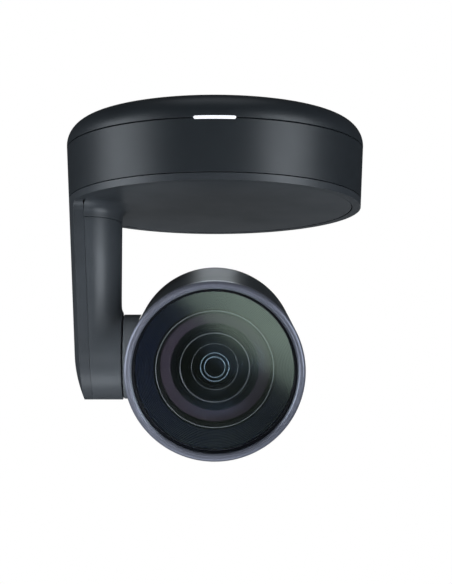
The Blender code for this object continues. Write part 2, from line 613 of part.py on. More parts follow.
def make_lens():
    revolve("front_window", lens(39.8, 49.3, 47.6, 1.2, 1.0), "glass", lens_axis, ROUND)
    ridges, outer, inner, front, rear = 4, 38.2, 29.4, 46.6, 43.4
    stairs = []
    for i in range(ridges):
        radius = outer + (inner - outer) * i / ridges
        stairs += [(radius, front + (rear - front) * k / ridges) for k in (i, i + 1)]
    stairs += [(inner, rear), (inner, 42.3), (31.2, 42.3), (38.6, 43.6), (38.6, front)]
    revolve("lens_baffle", stairs, "black", lens_axis, MEDIUM)
    clamp = [(27.0, 42.3), (29.1, 42.3), (29.1, 44.0), (28.0, 44.0), (27.0, 43.0)]
    revolve("lens_retainer", clamp, "steel", lens_axis, MEDIUM)
    housing = [(28.6, 42.0), (30.9, 42.0), (30.9, 28.0), (21.0, 20.0), (21.0, -20.0), (8.5, -20.0),
               (8.5, -18.0),
               (18.9, -18.0), (18.9, 25.6), (10.6, 25.6), (10.6, 27.0), (16.9, 31.4), (16.9, 33.0),
               (21.4, 34.6),
               (26.6, 36.1), (28.6, 36.1)]
    barrel = revolve("lens_barrel", housing, "black", lens_axis, MEDIUM)
    revolve("front_element", lens(28.3, 38.6, 36.4, 6.2, 3.8), "glass", lens_axis, MEDIUM)
    revolve("second_element", lens(16.6, 33.4, 31.9, 3.4, 1.8), "glass", lens_axis, MEDIUM)
    revolve("third_element", lens(10.3, 26.8, 25.9, 2.4, 0.8), "glass", lens_axis, SMALL)
    revolve("iris_ring", tube(5.4, 18.6, IRIS_A, IRIS_A + 1.0), "steel", lens_axis, SMALL)
    rod_end = IRIS_A - GAP
    for i, x in enumerate((-ROD_OFFSET, ROD_OFFSET)):
        revolve(f"guide_rod_{i + 1}", tube(0, 1.0, -17.7, rod_end), "steel", lens_axis, TINY, at=(x, 0))
    for name, low, high, glass, y in (("zoom", 6.0, 10.0, 7.8, 1), ("focus", -10.0, -7.0, 6.8, -1)):
        ring = tube(glass + GAP, CARRIAGE_RADIUS, low, high)
        carriage = revolve(f"{name}_carriage", ring, "black", lens_axis, MEDIUM)
        for k in range(4):
            turn = math.pi / 2 * k
            at = (ROD_OFFSET * math.cos(turn), ROD_OFFSET * math.sin(turn))
            bore = tube(0, 1.45, low - EPS, high + EPS)
            boolean(carriage, revolve(f"{name}_hole_{k + 1}", bore, "black", lens_axis, TINY, at=at))
        revolve(f"{name}_lens", lens(glass, high - 1.0, low + 1.0, 0.8, -0.8, 2), "glass", lens_axis, SMALL)
        at = (0, ROD_OFFSET * y)
        revolve(f"{name}_screw", tube(0, 1.0, -28.5, rod_end - GAP), "steel", lens_axis, TINY, at=at)
        hole = revolve(f"{name}_screw_hole", tube(0, 1.45, -21, -17), "black", lens_axis, TINY, at=at)
        boolean(barrel, hole)
        motor = [(1.4, -20.3), (4.0, -20.3), (4.0, -30.0), (0, -30.0), (0, -29.0), (1.4, -29.0)]
        revolve(f"{name}_motor", motor, "steel", lens_axis, TINY, at=at)


def make_head_inside():
    block("image_sensor", (-7.5, 7.5), (-5.5, 5.5), (-21.6, -20.4), "black", lens_axis)
    block("sensor_board", (-10, 10), (-10, 10), (-23.4, -21.9), "board", lens_axis)
    fins, pitch = 5, 4.0
    comb = [(-9.0, -23.7), (-9.0, -30.0)]
    for i in range(fins):
        left = -9.0 + pitch * i
        comb += [(left + 2.0, -30.0)]
        if i < fins - 1:
            comb += [(left + 2.0, -25.7), (left + pitch, -25.7), (left + pitch, -30.0)]
    comb += [(9.0, -23.7)]
    sink = prism("heat_sink", comb, -9.0, 9.0, "alloy", lens_axis)
    sink.rotation_euler.x = math.radians(90)
    frame = revolve("head_frame", tube(21.3, 39.0, 2.0, 4.0), "alloy", lens_axis, MEDIUM)
    boolean(frame, revolve("frame_pad", tube(0, 13.0, -42.1, -31.0), "alloy", tilt_axis, MEDIUM), "UNION")
    boolean(frame, revolve("frame_bore", tube(0, 4.0, -45, -28), "alloy", tilt_axis, SMALL))


make_drum()
make_ports()
make_chassis()
make_pan_drive()
make_arm_cover()
make_yoke_shell()
make_turntable()
make_tilt_drive()
make_head_shells()
make_lens()
make_head_inside()
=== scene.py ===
"""Looks for the ceiling-hung pan, tilt and zoom camera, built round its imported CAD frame.

Lengths are in millimetres until a mesh is made. The axes are the CAD frame's: +Z up, -Y to the front,
and the origin at the mounting face on the pan axis. Pieces of the lens head are turned about the lens
axis, and their heights run forward from the tilt axis.
"""

import json
import math

import bmesh
import bpy
from mathutils import Matrix, Vector


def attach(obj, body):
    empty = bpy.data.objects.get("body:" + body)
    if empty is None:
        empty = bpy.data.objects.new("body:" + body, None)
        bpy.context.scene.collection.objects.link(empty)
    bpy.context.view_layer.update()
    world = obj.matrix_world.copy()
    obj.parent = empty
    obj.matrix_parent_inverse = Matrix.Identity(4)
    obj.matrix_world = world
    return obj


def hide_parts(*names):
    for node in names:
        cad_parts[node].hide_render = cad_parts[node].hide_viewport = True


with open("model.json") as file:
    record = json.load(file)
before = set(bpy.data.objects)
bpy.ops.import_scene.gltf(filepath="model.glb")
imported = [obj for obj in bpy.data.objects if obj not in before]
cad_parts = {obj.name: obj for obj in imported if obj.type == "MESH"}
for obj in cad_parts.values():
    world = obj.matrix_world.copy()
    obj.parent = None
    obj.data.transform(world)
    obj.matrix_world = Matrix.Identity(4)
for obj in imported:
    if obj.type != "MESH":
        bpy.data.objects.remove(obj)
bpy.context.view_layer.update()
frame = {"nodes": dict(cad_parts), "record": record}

MM = 0.001
FINE = 288           # sides of a round piece, from the drum down to the sockets
MEDIUM = 144
SMALL = 64
TINY = 32
GAP = 0.3            # between two pieces that meet
SEAM_GAP = 0.12      # between the arm's two mouldings
WALL = 2.2           # of the head's mouldings

# ---------------------------------------------------------------- dimensions shared with the frame
JOINTS = {joint["name"]: joint for joint in frame["record"]["behaviour"]["joints"]}
TILT_Z = JOINTS["tilt"]["pos_m"][2] / MM
FORWARD = Vector(JOINTS["zoom_travel"]["axis"]).normalized()
REST_TILT = math.atan2(-FORWARD.z, -FORWARD.y)

SEAM_TOP = -14.0     # joint between the cap and the side band
SEAM_LOW = -40.4     # joint between the band and the turntable
UNDERSIDE = -44.3    # lowest edge of the turntable's rim
DRUM_RADIUS = 76.0   # at SEAM_TOP
DRUM_TAPER = 0.048   # radius lost per millimetre below SEAM_TOP
CAP_TOP = -0.5
EDGE_WIDTH = 12.9    # of the cap's rounded edge
EDGE_DEPTH = 12.1
EDGE_POWER = 2.05    # 2 is an ellipse, and more is squarer
PAD_INNER = 50.0
PAD_OUTER = 60.0
PAD_LOW = -1.8
ARM_HALF_DEPTH = 21.75
ARM_TOP = -52.2      # joint between the collar and the arm's cover
ARM_INNER_X = -47.4  # the column's inner line
ELBOW_X = -46.4      # the elbow's flat end, next to the hub
SEAM_DEPTH = 8.6     # of the arm's outer shell, in from the drum's side
TIP_DROP = 4.0       # how far the outer shell curves in at its lowest point
RIM_INNER = 70.3
COVER_FACE = -44.1   # the flat underside
COLLAR_FILLET = 6.0
HEAD_FRONT = 53.7    # heights along the lens axis, down to HEAD_SEAM
HEAD_REAR = -50.0
RING_SEAM = 44.2
HEAD_SEAM = -38.2
HEAD_RADIUS = 43.9   # at HEAD_FRONT
HEAD_TAPER = 0.0253  # radius lost per millimetre behind HEAD_FRONT
RING_INNER = 40.1
REAR_EDGE = 11.5
REAR_POWER = 2.2
HUB_RADIUS = 21.3
PORT_Z = -24.1       # middle of the rear recess
PANEL_FACE = 62.0
SOCKET_BACK = 46.8


def drum_radius(z):
    return DRUM_RADIUS - DRUM_TAPER * (SEAM_TOP - z)


def head_radius(a):
    return HEAD_RADIUS - HEAD_TAPER * (HEAD_FRONT - a)


def seam_x(z):
    """The plane where the arm's shell meets its cover."""
    return SEAM_DEPTH - drum_radius(z)


# Local Z points up, forward along the lens, along the tilt axis, and out of the rear panel with Y down.
DRUM = Matrix.Identity(4)
LENS = Matrix.Translation((0, 0, TILT_Z)) @ Matrix.Rotation(math.pi / 2 + REST_TILT, 4, "X")
HUB = Matrix.Translation((0, 0, TILT_Z)) @ Matrix.Rotation(math.pi / 2, 4, "Y")
PORTS = Matrix.Translation((0, 0, PORT_Z)) @ Matrix.Rotation(-math.pi / 2, 4, "X")


# ---------------------------------------------------------------- materials
NOISE_LOW = 0.3      # nearly all of a noise lies between these
NOISE_HIGH = 0.7
WAVE_RATE = 20.0     # radians a metre of a wave texture at scale 1


class Nodes:
    """A material's node tree, with short ways to add and join nodes."""

    def __init__(self, name, colour, roughness, metallic=0.0, specular=0.5):
        self.material = bpy.data.materials.new(name)
        self.material.use_nodes = True
        self.tree = self.material.node_tree
        self.shader = self.tree.nodes["Principled BSDF"]
        self.shader.inputs["Base Color"].default_value = (*colour, 1.0)
        self.shader.inputs["Roughness"].default_value = roughness
        self.shader.inputs["Metallic"].default_value = metallic
        self.shader.inputs["Specular IOR Level"].default_value = specular
        self.place = self.add("ShaderNodeTexCoord").outputs["Object"]
        self.normal = None

    def add(self, kind, **values):
        node = self.tree.nodes.new(kind)
        for key, value in values.items():
            setattr(node, key, value)
        return node

    def join(self, source, target):
        self.tree.links.new(source, target)

    def noise(self, scale, detail=2.0, roughness=0.5):
        """Noise whose features are about 1/scale of a metre across."""
        node = self.add("ShaderNodeTexNoise")
        self.join(self.place, node.inputs["Vector"])
        node.inputs["Scale"].default_value = scale
        node.inputs["Detail"].default_value = detail
        node.inputs["Roughness"].default_value = roughness
        return node.outputs["Fac"]

    def spread(self, source, low, high, socket):
        """Maps a noise's usual range onto low..high and feeds a shader socket."""
        node = self.add("ShaderNodeMapRange")
        self.join(source, node.inputs["Value"])
        node.inputs["From Min"].default_value = NOISE_LOW
        node.inputs["From Max"].default_value = NOISE_HIGH
        node.inputs["To Min"].default_value = low
        node.inputs["To Max"].default_value = high
        self.join(node.outputs["Result"], self.shader.inputs[socket])

    def tint(self, source, dark, light):
        """Varies the base colour between two near shades."""
        node = self.add("ShaderNodeValToRGB")
        node.color_ramp.elements[0].color = (*dark, 1.0)
        node.color_ramp.elements[1].color = (*light, 1.0)
        node.color_ramp.elements[0].position = NOISE_LOW
        node.color_ramp.elements[1].position = NOISE_HIGH
        self.join(source, node.inputs["Fac"])
        self.join(node.outputs["Color"], self.shader.inputs["Base Color"])

    def bump(self, source, depth, strength=1.0):
        """Raises the surface by up to `depth` millimetres, on top of any bump before it."""
        node = self.add("ShaderNodeBump")
        node.inputs["Strength"].default_value = strength
        node.inputs["Distance"].default_value = depth * MM
        self.join(source, node.inputs["Height"])
        if self.normal:
            self.join(self.normal, node.inputs["Normal"])
        self.normal = node.outputs["Normal"]
        self.join(self.normal, self.shader.inputs["Normal"])


def scaled(colour, factor):
    return tuple(channel * factor for channel in colour)


def moulded_plastic(name, colour, roughness, grain=0.006, specular=0.5):
    """Spark-eroded moulded plastic: a fine grain, a faint mottle and slightly uneven gloss."""
    nodes = Nodes(name, colour, roughness, specular=specular)
    nodes.tint(nodes.noise(90.0, 4.0), scaled(colour, 0.93), scaled(colour, 1.07))
    nodes.spread(nodes.noise(35.0, 3.0), roughness - 0.025, roughness + 0.025, "Roughness")
    nodes.bump(nodes.noise(2600.0, 2.0), grain)
    nodes.bump(nodes.noise(60.0, 1.0), 0.01)
    return nodes.material


def satin_metal(name, colour, roughness, metallic=0.9, grain=0.003):
    """Fine bead-blasted or painted metal."""
    nodes = Nodes(name, colour, roughness, metallic=metallic)
    nodes.tint(nodes.noise(300.0, 4.0), scaled(colour, 0.95), scaled(colour, 1.05))
    nodes.spread(nodes.noise(1500.0, 3.0), roughness - 0.04, roughness + 0.04, "Roughness")
    nodes.bump(nodes.noise(3200.0, 2.0), grain)
    return nodes.material


def turned_metal(name, colour, roughness, mark=0.12):
    """Machined metal with fine tool marks, 2 pi times `mark` millimetres apart."""
    nodes = Nodes(name, colour, roughness, metallic=1.0)
    wave = nodes.add("ShaderNodeTexWave", wave_type="RINGS", rings_direction="SPHERICAL")
    nodes.join(nodes.place, wave.inputs["Vector"])
    wave.inputs["Scale"].default_value = 1.0 / (mark * MM * WAVE_RATE)
    wave.inputs["Distortion"].default_value = 0.6
    nodes.tint(nodes.noise(200.0, 3.0), scaled(colour, 0.9), scaled(colour, 1.08))
    nodes.bump(wave.outputs["Fac"], 0.003, 0.5)
    return nodes.material


def soft_rubber(name, colour):
    nodes = Nodes(name, colour, 0.78, specular=0.3)
    nodes.tint(nodes.noise(400.0, 4.0), scaled(colour, 0.85), scaled(colour, 1.2))
    nodes.bump(nodes.noise(1500.0, 4.0), 0.02)
    return nodes.material


def coated_glass(name, tint, facing, grazing, roughness):
    """Anti-reflection coated glass: clear, with a tinted reflection that grows towards grazing views."""
    nodes = Nodes(name, tint, roughness, metallic=1.0)
    weight = nodes.add("ShaderNodeLayerWeight")
    weight.inputs["Blend"].default_value = 0.25
    node = nodes.add("ShaderNodeMapRange")
    nodes.join(weight.outputs["Facing"], node.inputs["Value"])
    node.inputs["To Min"].default_value = facing
    node.inputs["To Max"].default_value = grazing
    nodes.join(node.outputs["Result"], nodes.shader.inputs["Alpha"])
    nodes.tint(nodes.noise(25.0, 1.0), scaled(tint, 0.92), scaled(tint, 1.05))
    nodes.material.surface_render_method = "BLENDED"
    return nodes.material


def lit_diffuser(name, colour, strength):
    """A milky window, lit evenly from behind."""
    nodes = Nodes(name, colour, 0.4)
    nodes.shader.inputs["Emission Color"].default_value = (*colour, 1.0)
    nodes.shader.inputs["Emission Strength"].default_value = strength
    nodes.tint(nodes.noise(200.0, 2.0), scaled(colour, 0.96), colour)
    return nodes.material


def circuit_board(name, colour):
    """Solder mask over a pattern of small copper areas."""
    nodes = Nodes(name, colour, 0.45)
    bricks = nodes.add("ShaderNodeTexBrick")
    nodes.join(nodes.place, bricks.inputs["Vector"])
    bricks.inputs["Scale"].default_value = 300.0
    bricks.inputs["Color1"].default_value = (*scaled(colour, 0.8), 1.0)
    bricks.inputs["Color2"].default_value = (*scaled(colour, 1.3), 1.0)
    bricks.inputs["Mortar"].default_value = (*scaled(colour, 0.5), 1.0)
    nodes.join(bricks.outputs["Color"], nodes.shader.inputs["Base Color"])
    return nodes.material


CHARCOAL = (0.0185, 0.0225, 0.0265)
LOOKS = {
    "shell": moulded_plastic("charcoal shell", CHARCOAL, 0.42),
    "cover": moulded_plastic("charcoal cover", (0.045, 0.051, 0.058), 0.38),
    "bezel": satin_metal("lavender grey bezel", (0.17, 0.178, 0.222), 0.34, metallic=0.55),
    "black": moulded_plastic("matt black", (0.007, 0.0075, 0.009), 0.5, specular=0.35),
    "rubber": soft_rubber("rubber", (0.012, 0.012, 0.013)),
    "glass": coated_glass("coated glass", (0.42, 0.52, 0.62), 0.008, 0.2, 0.04),
    "light": lit_diffuser("lit diffuser", (0.93, 0.95, 1.0), 0.9),
    "steel": turned_metal("steel", (0.5, 0.51, 0.53), 0.35),
    "brass": turned_metal("brass", (0.65, 0.46, 0.2), 0.35),
    "alloy": turned_metal("alloy", (0.5, 0.51, 0.53), 0.45),
    "board": circuit_board("circuit board", (0.01, 0.05, 0.025)),
    "acetal": moulded_plastic("acetal", (0.6, 0.6, 0.57), 0.45),
}
# A lighter copy of the charcoal shell plastic for the rim and the arm's outer shell: painted light, so the
# arm reads as more brightly lit.
YOKE_PAINTED_LIGHT = moulded_plastic("charcoal yoke with painted light", (0.038, 0.043, 0.049), 0.40)
# A still lighter copy of the charcoal shell plastic for the hub: painted light on a part that lies in the
# arm's shade.
HUB_PAINTED_LIGHT = moulded_plastic("charcoal hub with painted light", (0.085, 0.094, 0.104), 0.36)
WINDOW_GLASS = coated_glass("front window glass", (0.66, 0.80, 0.62), 0.08, 0.36, 0.12)
BLUE_COAT = coated_glass("blue coated glass", (0.30, 0.45, 0.75), 0.015, 0.15, 0.24)
BAFFLE_BLACK = moulded_plastic("ridged baffle", (0.002, 0.0045, 0.016), 0.5, grain=0.0, specular=0.3)
STEP_BLACK = moulded_plastic("lens cell black", (0.001, 0.0014, 0.003), 0.5, grain=0.0, specular=0.15)
# Brown that paints the reflection seen in the front element onto the seat behind it.
PAINTED_REFLECTION_BROWN = moulded_plastic("painted reflection brown", (0.034, 0.026, 0.042), 0.5, grain=0.0, specular=0.3)
EDGE_METAL = satin_metal("lens edge", (0.35, 0.38, 0.42), 0.3, metallic=0.5, grain=0.0)
# The pupil ring and its edges are coloured bright blue as a painted reflection deep in the lens.
PUPIL_EDGE_PAINTED_REFLECTION = satin_metal("pupil ring edge", (0.38, 0.56, 0.7), 0.4, metallic=0.3, grain=0.0)
PUPIL_PAINTED_REFLECTION = satin_metal("pupil ring", (0.09, 0.17, 0.26), 0.4, metallic=0.3, grain=0.0)
# The dark pupil disc is painted shade for the lens's unlit depth.
PUPIL_PAINTED_SHADE = satin_metal("pupil", (0.024, 0.028, 0.046), 0.3, metallic=0.3, grain=0.0)

slots = {part["node"]: part["material_slot"] for part in frame["record"]["subparts"]}
for node_name, node_object in frame["nodes"].items():
    node_object.data.materials.clear()
    node_object.data.materials.append(LOOKS[slots[node_name]])


# ---------------------------------------------------------------- mesh helpers
def spaced(start, end, steps):
    """Evenly spaced numbers from start to end, both included."""
    return [start + (end - start) * i / steps for i in range(steps + 1)]


def arc(centre, radius, start, end, steps):
    """Points of a circular arc, with angles in degrees."""
    turns = [math.radians(degrees) for degrees in spaced(start, end, steps)]
    return [(centre[0] + radius * math.cos(t), centre[1] + radius * math.sin(t)) for t in turns]


def softened(outline, steps=4):
    """Replaces each (x, y, reach) corner of a closed outline with a curve that starts `reach` from it."""
    points = []
    for i, corner in enumerate(outline):
        here = Vector(corner[:2])
        if len(corner) < 3:
            points.append(tuple(here))
            continue
        before = Vector(outline[i - 1][:2]) - here
        after = Vector(outline[(i + 1) % len(outline)][:2]) - here
        start = here + before.normalized() * min(corner[2], before.length * 0.49)
        end = here + after.normalized() * min(corner[2], after.length * 0.49)
        for k in range(steps + 1):
            t = k / steps
            points.append(tuple(start * (1 - t) ** 2 + here * 2 * t * (1 - t) + end * t * t))
    return points


def lathe(profile, steps, at=(0, 0)):
    """Revolves a closed (radius, height) profile about local Z."""
    mesh = bmesh.new()
    rings = []
    for radius, height in softened(profile):
        if radius < 1e-6:
            rings.append([mesh.verts.new((at[0], at[1], height))])
            continue
        turns = [2 * math.pi * (i + 0.5) / steps for i in range(steps)]
        rings.append([
            mesh.verts.new((at[0] + radius * math.cos(t), at[1] + radius * math.sin(t), height))
            for t in turns
        ])
    for low, high in zip(rings, rings[1:] + rings[:1]):
        for i in range(steps):
            j = (i + 1) % steps
            corners = [low[i % len(low)], low[j % len(low)], high[j % len(high)], high[i % len(high)]]
            corners = list(dict.fromkeys(corners))
            if len(corners) > 2:
                mesh.faces.new(corners)
    return mesh


def prism(outline, low, high):
    """Extrudes an (x, y) outline along local Z."""
    mesh = bmesh.new()
    points = softened(outline)
    bottom = [mesh.verts.new((x, y, low)) for x, y in points]
    top = [mesh.verts.new((x, y, high)) for x, y in points]
    mesh.faces.new(bottom[::-1])
    mesh.faces.new(top)
    for i in range(len(points)):
        j = (i + 1) % len(points)
        mesh.faces.new((bottom[i], bottom[j], top[j], top[i]))
    return mesh


def loft(rows):
    """Joins closed loops of equal length into a solid with flat ends."""
    mesh = bmesh.new()
    loops = [[mesh.verts.new(point) for point in row] for row in rows]
    mesh.faces.new(loops[0])
    mesh.faces.new(loops[-1][::-1])
    for upper, lower in zip(loops, loops[1:]):
        for i in range(len(upper)):
            j = (i + 1) % len(upper)
            mesh.faces.new((upper[i], upper[j], lower[j], lower[i]))
    return mesh


def solid(name, mesh, place=DRUM):
    """A bmesh in millimetres as an object in the frame's metres."""
    bmesh.ops.remove_doubles(mesh, verts=mesh.verts, dist=1e-4)
    bmesh.ops.dissolve_degenerate(mesh, edges=mesh.edges, dist=1e-5)
    bmesh.ops.recalc_face_normals(mesh, faces=mesh.faces)
    mesh.transform(Matrix.Scale(MM, 4) @ place)
    data = bpy.data.meshes.new(name)
    mesh.to_mesh(data)
    mesh.free()
    made = bpy.data.objects.new(name, data)
    bpy.context.scene.collection.objects.link(made)
    return made


def settle(target):
    """Replaces an object's mesh with what its modifiers make of it."""
    graph = bpy.context.evaluated_depsgraph_get()
    data = bpy.data.meshes.new_from_object(target.evaluated_get(graph))
    target.modifiers.clear()
    target.data = data


def boolean(target, mesh, place=DRUM, operation="DIFFERENCE"):
    """Cuts with, or joins, a helper solid and then removes the helper."""
    helper = solid("helper", mesh, place)
    step = target.modifiers.new("boolean", "BOOLEAN")
    step.operation = operation
    step.object = helper
    settle(target)
    bpy.data.objects.remove(helper, do_unlink=True)


def weigh_edges(target, share):
    """Stores how much of the bevel each sharp edge takes, from a function of its middle in millimetres."""
    mesh = bmesh.new()
    mesh.from_mesh(target.data)
    layer = mesh.edges.layers.float.new("bevel_weight_edge")
    for edge in mesh.edges:
        if edge.is_manifold and edge.calc_face_angle(0.0) > math.radians(32):
            edge[layer] = share((edge.verts[0].co + edge.verts[1].co) / (2 * MM))
    mesh.to_mesh(target.data)
    mesh.free()


def finish_piece(target, body, slot, stands_for=(), look=None, bevel=0.0, sharp=32.0, segments=3):
    """Rounds the edges, shades the surface and hangs the piece on its body.

    Edges sharper than `sharp` degrees are rounded by `bevel` millimetres and stay crisp in the shading.
    """
    if bevel:
        step = target.modifiers.new("bevel", "BEVEL")
        step.width = bevel * MM
        step.segments = segments
        step.limit_method = "WEIGHT" if "bevel_weight_edge" in target.data.attributes else "ANGLE"
        step.angle_limit = math.radians(sharp)
        step.miter_outer = "MITER_ARC"
        settle(target)
    target.data.materials.clear()
    target.data.materials.append(look or LOOKS[slot])
    target.data.shade_smooth()
    target.data.set_sharp_from_angle(angle=math.radians(sharp))
    weights = target.modifiers.new("weighted normals", "WEIGHTED_NORMAL")
    weights.keep_sharp = True
    weights.weight = 80
    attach(target, body)
    if stands_for:
        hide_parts(*stands_for)
    return target


# ---------------------------------------------------------------- fixed drum
LEAST_HEIGHT = 0.01  # keeps the status bar's ends from closing to a line


def rounded_edge(power, steps):
    """Shares (in from the side, down from the top) along a quarter of a squared ellipse."""
    turns = spaced(0.0, math.pi / 2, steps)
    return [(1 - math.cos(turn) ** (2 / power), 1 - math.sin(turn) ** (2 / power)) for turn in turns]


def cap_edge(inset, steps):
    """The rounded edge from the side wall up and in to the flat top."""
    outer, top = drum_radius(CAP_TOP - EDGE_DEPTH) - inset, CAP_TOP - inset
    width, depth = EDGE_WIDTH - inset, EDGE_DEPTH - inset
    return [(outer - width * across, top - depth * down) for across, down in rounded_edge(EDGE_POWER, steps)]


def solid_arc(half_angle, inner, outer, low, high, end_round, steps=40):
    """A curved bar centred on the front, with its ends rounded in height."""
    middle, half = (low + high) / 2, (high - low) / 2
    rows = []
    for i in range(steps + 1):
        share = -1 + 2 * i / steps
        angle = math.radians(-90 + half_angle * share)
        from_end = (1 - abs(share)) * math.radians(half_angle) * outer
        tall = half
        if from_end < end_round:
            rise = math.sqrt(max(0.0, end_round ** 2 - (end_round - from_end) ** 2))
            tall = half - end_round + rise + LEAST_HEIGHT
        c, s = math.cos(angle), math.sin(angle)
        rows.append([
            (inner * c, inner * s, middle - tall), (outer * c, outer * s, middle - tall),
            (outer * c, outer * s, middle + tall), (inner * c, inner * s, middle + tall),
        ])
    return loft(rows)


def led_notch():
    """The slot in the cap and the band that the status light sits in."""
    return solid_arc(8.0, DRUM_RADIUS - 6, DRUM_RADIUS + 3, -15.0, -13.15, 0.7)


def make_cap():
    """The cap, with a groove for the pad and a recess for the tripod insert."""
    groove = PAD_LOW - GAP
    wide, narrow = PAD_OUTER + GAP, PAD_INNER - GAP
    lip, lip_low = drum_radius(SEAM_TOP) - 2.7, SEAM_TOP - 2.0
    top = [
        (wide, CAP_TOP, 0.3), (wide, groove), (narrow, groove), (narrow, CAP_TOP, 0.3), (8.0, CAP_TOP, 0.4),
        (7.3, CAP_TOP - 0.7), (7.3, -4.7), (10.0, -4.7), (10.0, -3.1),
    ]
    skirt = [(lip - 1.6, lip_low), (lip, lip_low), (lip, SEAM_TOP), (drum_radius(SEAM_TOP), SEAM_TOP, 0.3)]
    inner = cap_edge(2.6, 10)[::-1]
    cap = solid("cap", lathe(cap_edge(0.0, 28) + top + inner[1:] + skirt, FINE))
    boolean(cap, led_notch())
    finish_piece(cap, "base", "shell", ["base_cap"])


def make_pad():
    """The ceiling pad, a rubber ring with six fine grooves in its face."""
    grooves, first, pitch, step, deep = 6, 1.4, 1.44, 0.32, 0.3
    face = []
    for i in range(grooves):
        radius = PAD_OUTER - first - pitch * i
        face += [(radius, 0.0, 0.15), (radius - step, -deep, 0.1), (radius - 2 * step, -deep, 0.1),
                 (radius - 3 * step, 0.0, 0.15)]
    ring = [(PAD_INNER, PAD_LOW), (PAD_OUTER, PAD_LOW), (PAD_OUTER, 0.0, 0.5)] + face
    ring += [(PAD_INNER, 0.0, 0.5)]
    finish_piece(solid("pad", lathe(ring, FINE)), "base", "rubber", ["base_pad"])


def make_tripod_socket():
    """The brass insert, with a real helical thread of 1.27 mm pitch in its bore."""
    pitch, crest, root, low, high, rows_per_turn = 1.27, 2.75, 3.2, -10.6, -0.9, 12
    mouth = [(3.6, -0.5), (6.7, -0.5), (7.0, -0.8), (7.0, -5.0)]
    flange = [(9.5, -5.0), (9.5, -6.6), (7.0, -6.6), (7.0, -13.0)]

    def ring(radius_at, z):
        turns = [i / SMALL for i in range(SMALL)]
        return [(radius_at(t) * math.cos(2 * math.pi * t), radius_at(t) * math.sin(2 * math.pi * t), z)
                for t in turns]

    def thread_radius(turn, z):
        return crest + (root - crest) * abs(2 * ((z / pitch - turn) % 1.0) - 1)

    rows = [ring(lambda turn: 3.0, -11.0)]
    for z in spaced(low, high, int((high - low) / pitch * rows_per_turn)):
        rows.append(ring(lambda turn: thread_radius(turn, z), z))
    rows += [ring(lambda turn: radius, z) for radius, z in mouth + flange]
    finish_piece(solid("tripod_socket", loft(rows)), "base", "brass", ["tripod_insert"])


def rounded_box(x, y, reach):
    """A rectangle's corners for `softened`, from its ranges in x and y."""
    return [(x[0], y[0], reach), (x[1], y[0], reach), (x[1], y[1], reach), (x[0], y[1], reach)]


def make_band():
    """The side band, with the recess for the ports at the rear, and the status bar at the front."""
    top, low, wall = SEAM_TOP - 0.4, SEAM_LOW, 2.4
    profile = [
        (drum_radius(low) - wall, low), (drum_radius(low), low, 0.3), (drum_radius(top), top, 0.3),
        (drum_radius(top) - wall, top),
    ]
    band = solid("side_band", lathe(profile, FINE))
    half, low_z, high_z, reach = 36.0, -29.8, -18.4, 3.2
    recess = rounded_box((-half, half), (PORT_Z - high_z, PORT_Z - low_z), reach)
    boolean(band, prism(recess, 50.0, 90.0), PORTS)
    boolean(band, led_notch())
    finish_piece(band, "base", "shell", ["base_band"])

    bar = solid("status_light", solid_arc(7.75, DRUM_RADIUS - 4.5, DRUM_RADIUS + 0.02, -14.75, -13.4, 0.6))
    finish_piece(bar, "base", "light", ["led_window"], bevel=0.2)


def box_about(x, size, reach):
    """A rounded rectangle of the given width and height, centred on (x, 0)."""
    return rounded_box((x - size[0] / 2, x + size[0] / 2), (-size[1] / 2, size[1] / 2), reach)


def make_flat_socket(name, x, outer, inner, tongue, contacts):
    """A steel-shelled socket with a tongue that carries a row of contacts."""
    side_round, mouth_depth, tongue_back, contact_back, proud = 0.45, 7.0, 55.1, 56.5, 0.05
    shell_outline = box_about(x, outer, outer[1] * side_round)
    shell = solid(name + "_shell", prism(shell_outline, SOCKET_BACK, PANEL_FACE), PORTS)
    mouth = prism(box_about(x, inner, inner[1] * side_round), PANEL_FACE - mouth_depth, PANEL_FACE + 1)
    boolean(shell, mouth, PORTS)
    finish_piece(shell, "base", "steel", [name], bevel=0.12)
    blade = prism(box_about(x, tongue, 0.2), tongue_back, PANEL_FACE - 1)
    finish_piece(solid(name + "_tongue", blade, PORTS), "base", "black")
    pitch = tongue[0] / (contacts + 1)
    for i in range(contacts):
        place = x + pitch * (i + 1 - (contacts + 1) / 2)
        outline = box_about(place, (pitch * 0.56, tongue[1] + 2 * proud), 0.04)
        contact = prism(outline, contact_back, PANEL_FACE - 1.3)
        finish_piece(solid(f"{name}_contact_{i + 1}", contact, PORTS), "base", "brass")


def make_ports():
    """The power jack, two sockets and the pairing button in the rear recess."""
    jack = [(0, SOCKET_BACK), (4.3, SOCKET_BACK), (4.3, PANEL_FACE, 0.3), (3.1, PANEL_FACE, 0.4),
            (3.1, 51.8), (0.9, 51.8), (0.9, 60.2, 0.4), (0, 60.2)]
    power = solid("power_socket", lathe(jack, TINY, at=(-26, 0)), PORTS)
    finish_piece(power, "base", "black", ["power_jack"])
    make_flat_socket("usb_c_port", -9, (9.2, 3.4), (8.4, 2.6), (6.6, 0.8), 12)
    make_flat_socket("video_port", 9, (15.4, 5.8), (14.2, 4.6), (11.6, 1.4), 10)
    stem = [(0, 56.0), (3.6, 56.0, 0.2), (3.6, 57.2, 0.2), (2.4, 57.2), (2.4, 63.2, 0.5), (0.9, 63.2, 0.2),
            (0.6, 62.95), (0, 62.95)]
    button = solid("button_cap", lathe(stem, TINY, at=(27, 0)), PORTS)
    finish_piece(button, "pairing_button", "black", ["pairing_button"])


# ---------------------------------------------------------------- turntable and arm
BLEND_POWER = 4.0    # how squarely the column and the elbow meet, at the seam
CORNER_POWER = 14.0  # and at the column's inner line


def tip_inset(z):
    """How far the arm's outer face curves in towards its tip."""
    return TIP_DROP * (min(0.0, z - TILT_Z) / ARM_HALF_DEPTH) ** 2


